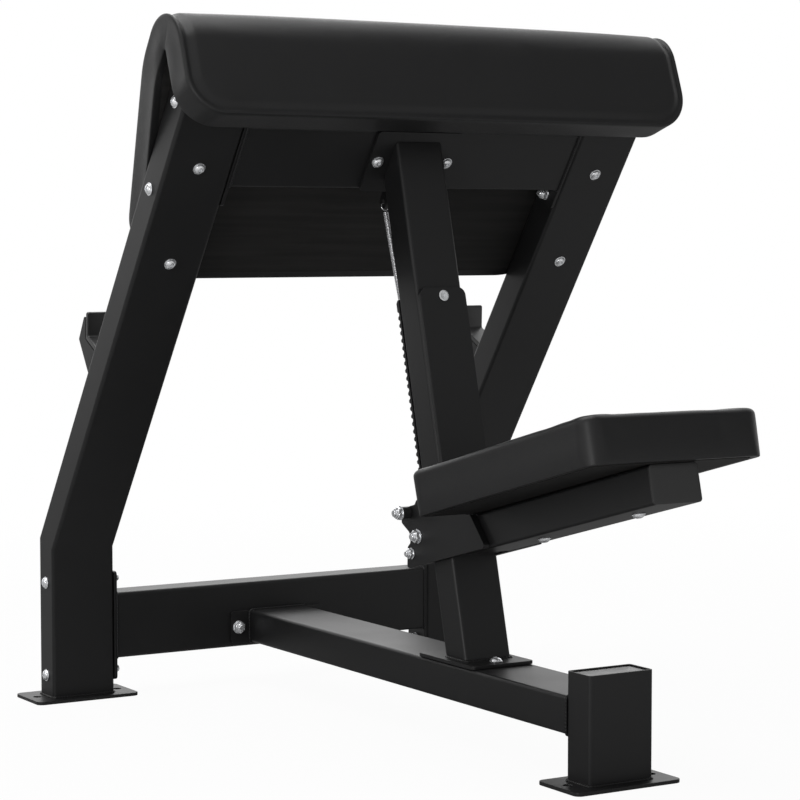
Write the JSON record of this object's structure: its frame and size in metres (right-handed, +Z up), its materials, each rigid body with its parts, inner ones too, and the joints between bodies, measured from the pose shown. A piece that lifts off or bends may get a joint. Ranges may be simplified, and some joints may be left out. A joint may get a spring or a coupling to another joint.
{
  "type": "preacher bench",
  "caption": "Preacher curl bench: saddle-shaped arm pad on two bent legs, bar catches, and a padded seat on a rack-locked carriage that slides on a leaning column.",
  "frame": {"origin": "on the floor below the middle of the overall width and length", "axes": "+X to the right of the person on the seat, +Y forward from the seat towards the bar catches, +Z up"},
  "size_m": [0.824, 1.1014, 0.9923],
  "materials": {
    "powder_coated_steel": "black fine-grain powder coat",
    "pad_vinyl": "black artificial leather with a soft sheen",
    "blackened_plywood": "plywood stained black",
    "black_plastic": "black moulded plastic",
    "black_nylon": "black nylon",
    "zinc_steel": "bright zinc-plated steel",
    "spring_steel": "bright zinc-plated spring wire"
  },
  "bodies": {
    "frame": {"arm_board_front": "blackened_plywood", "arm_board_rear": "blackened_plywood", "arm_pad": "pad_vinyl", "arm_pad_bolt_left_bottom": "zinc_steel", "arm_pad_bolt_left_top": "zinc_steel", "arm_pad_bolt_right_bottom": "zinc_steel", "arm_pad_bolt_right_top": "zinc_steel", "bar_catch_left": "powder_coated_steel", "bar_catch_right": "powder_coated_steel", "base_beam": "powder_coated_steel", "base_beam_bolt_left": "zinc_steel", "base_beam_bolt_right": "zinc_steel", "catch_bolt_left": "zinc_steel", "catch_bolt_right": "zinc_steel", "catch_liner_left": "black_plastic", "catch_liner_right": "black_plastic", "column_foot_bolt_front": "zinc_steel", "column_foot_bolt_rear": "zinc_steel", "column_foot_plate": "powder_coated_steel", "column_head_bolt_left": "zinc_steel", "column_head_bolt_right": "zinc_steel", "column_head_plate": "powder_coated_steel", "foot_plate_left": "powder_coated_steel", "foot_plate_rear": "powder_coated_steel", "foot_plate_right": "powder_coated_steel", "front_cross_beam": "powder_coated_steel", "leg_left": "powder_coated_steel", "leg_right": "powder_coated_steel", "lower_leg_bolt_left_bottom": "zinc_steel", "lower_leg_bolt_left_top": "zinc_steel", "lower_leg_bolt_right_bottom": "zinc_steel", "lower_leg_bolt_right_top": "zinc_steel", "rack": "powder_coated_steel", "rear_post": "powder_coated_steel", "rear_post_cap": "black_plastic", "return_spring": "spring_steel", "seat_column": "powder_coated_steel", "spring_lug": "powder_coated_steel", "upper_cross_beam": "powder_coated_steel", "upper_leg_bolt_left_bottom": "zinc_steel", "upper_leg_bolt_left_top": "zinc_steel", "upper_leg_bolt_right_bottom": "zinc_steel", "upper_leg_bolt_right_top": "zinc_steel", "wear_plate": "powder_coated_steel", "wear_plate_screw": "zinc_steel"},
    "slider": {"roller_axle": "zinc_steel"},
    "carriage": {"side_plate_left": "powder_coated_steel", "side_plate_right": "powder_coated_steel", "guide_bolt": "zinc_steel", "guide_bush_left": "black_nylon", "guide_bush_right": "black_nylon", "lock_bolt": "zinc_steel", "tie_bolt": "zinc_steel", "seat_tube": "powder_coated_steel", "seat_tube_cap": "black_plastic", "seat_pad": "pad_vinyl", "seat_board": "blackened_plywood", "seat_bolt_front": "zinc_steel", "seat_bolt_rear": "zinc_steel"},
    "roller": {"rear_roller": "black_nylon"}
  },
  "joints": [
    {"name": "seat_slide", "type": "slide", "parent": "frame", "child": "slider", "axis": [0, 0.2453, 0.9694], "range_m": [0, 0.27], "deforming": ["return_spring"]},
    {"name": "seat_tilt", "type": "hinge", "parent": "slider", "child": "carriage", "pos_m": [0, -0.10602, 0.27704], "axis": [-1, 0, 0], "range_deg": [0, 6]},
    {"name": "roller_spin", "type": "hinge", "parent": "slider", "child": "roller", "pos_m": [0, -0.10602, 0.27704], "axis": [-1, 0, 0], "continuous": true}
  ],
  "couplings": [
    {"joint": "roller_spin", "follows": "seat_slide", "rad_per_m": 83.333}
  ]
}
